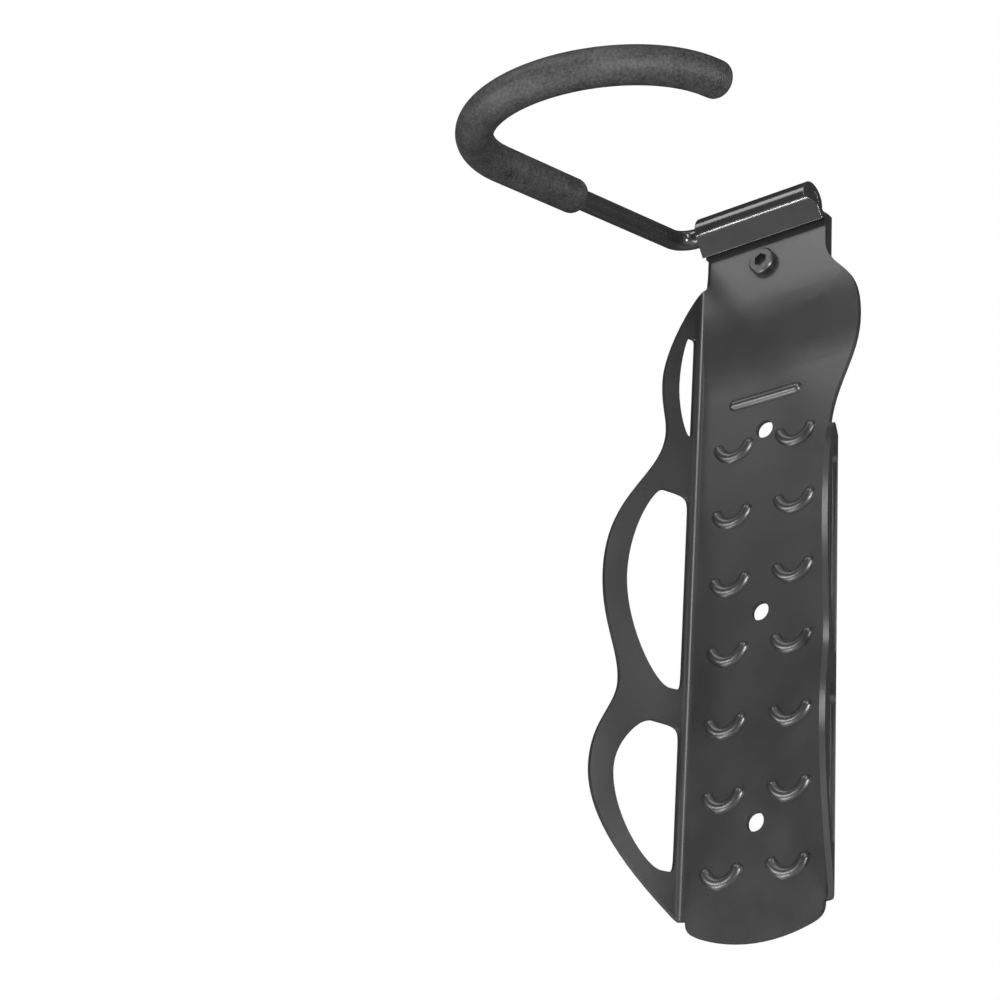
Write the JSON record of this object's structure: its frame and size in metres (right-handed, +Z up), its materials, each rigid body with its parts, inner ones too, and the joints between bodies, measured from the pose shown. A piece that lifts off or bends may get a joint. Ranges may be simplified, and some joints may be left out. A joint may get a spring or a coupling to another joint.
{
  "type": "bicycle wall rack",
  "caption": "Folded steel wall plate with scalloped tyre guards and a fold-up round-bar hook in a foam sleeve, for hanging a bicycle by its front wheel.",
  "frame": {"origin": "on the wall face (the plate's back), on the centre line, half way between the highest and lowest wall-screw holes", "axes": "+X right when facing the wall, +Y into the wall, +Z up; the hook reaches out along -Y"},
  "size_m": [0.11, 0.1747, 0.2994],
  "materials": {
    "plate_coat": "satin black powder coat",
    "strap_coat": "satin black powder coat",
    "screw_steel": "black oxide steel",
    "bar_coat": "semi-gloss black powder coat",
    "foam": "matt speckled foam rubber"
  },
  "bodies": {
    "plate": {"wall_plate": "plate_coat", "clamp_strap": "strap_coat", "clamp_screw": "screw_steel"},
    "hook": {"hook_rod": "bar_coat", "hook_sleeve": "foam"}
  },
  "joints": [
    {"name": "hook_fold", "type": "hinge", "parent": "plate", "child": "hook", "pos_m": [0, -0.00706, 0.1713], "axis": [-1, 0, 0], "range_deg": [0, 100]}
  ]
}
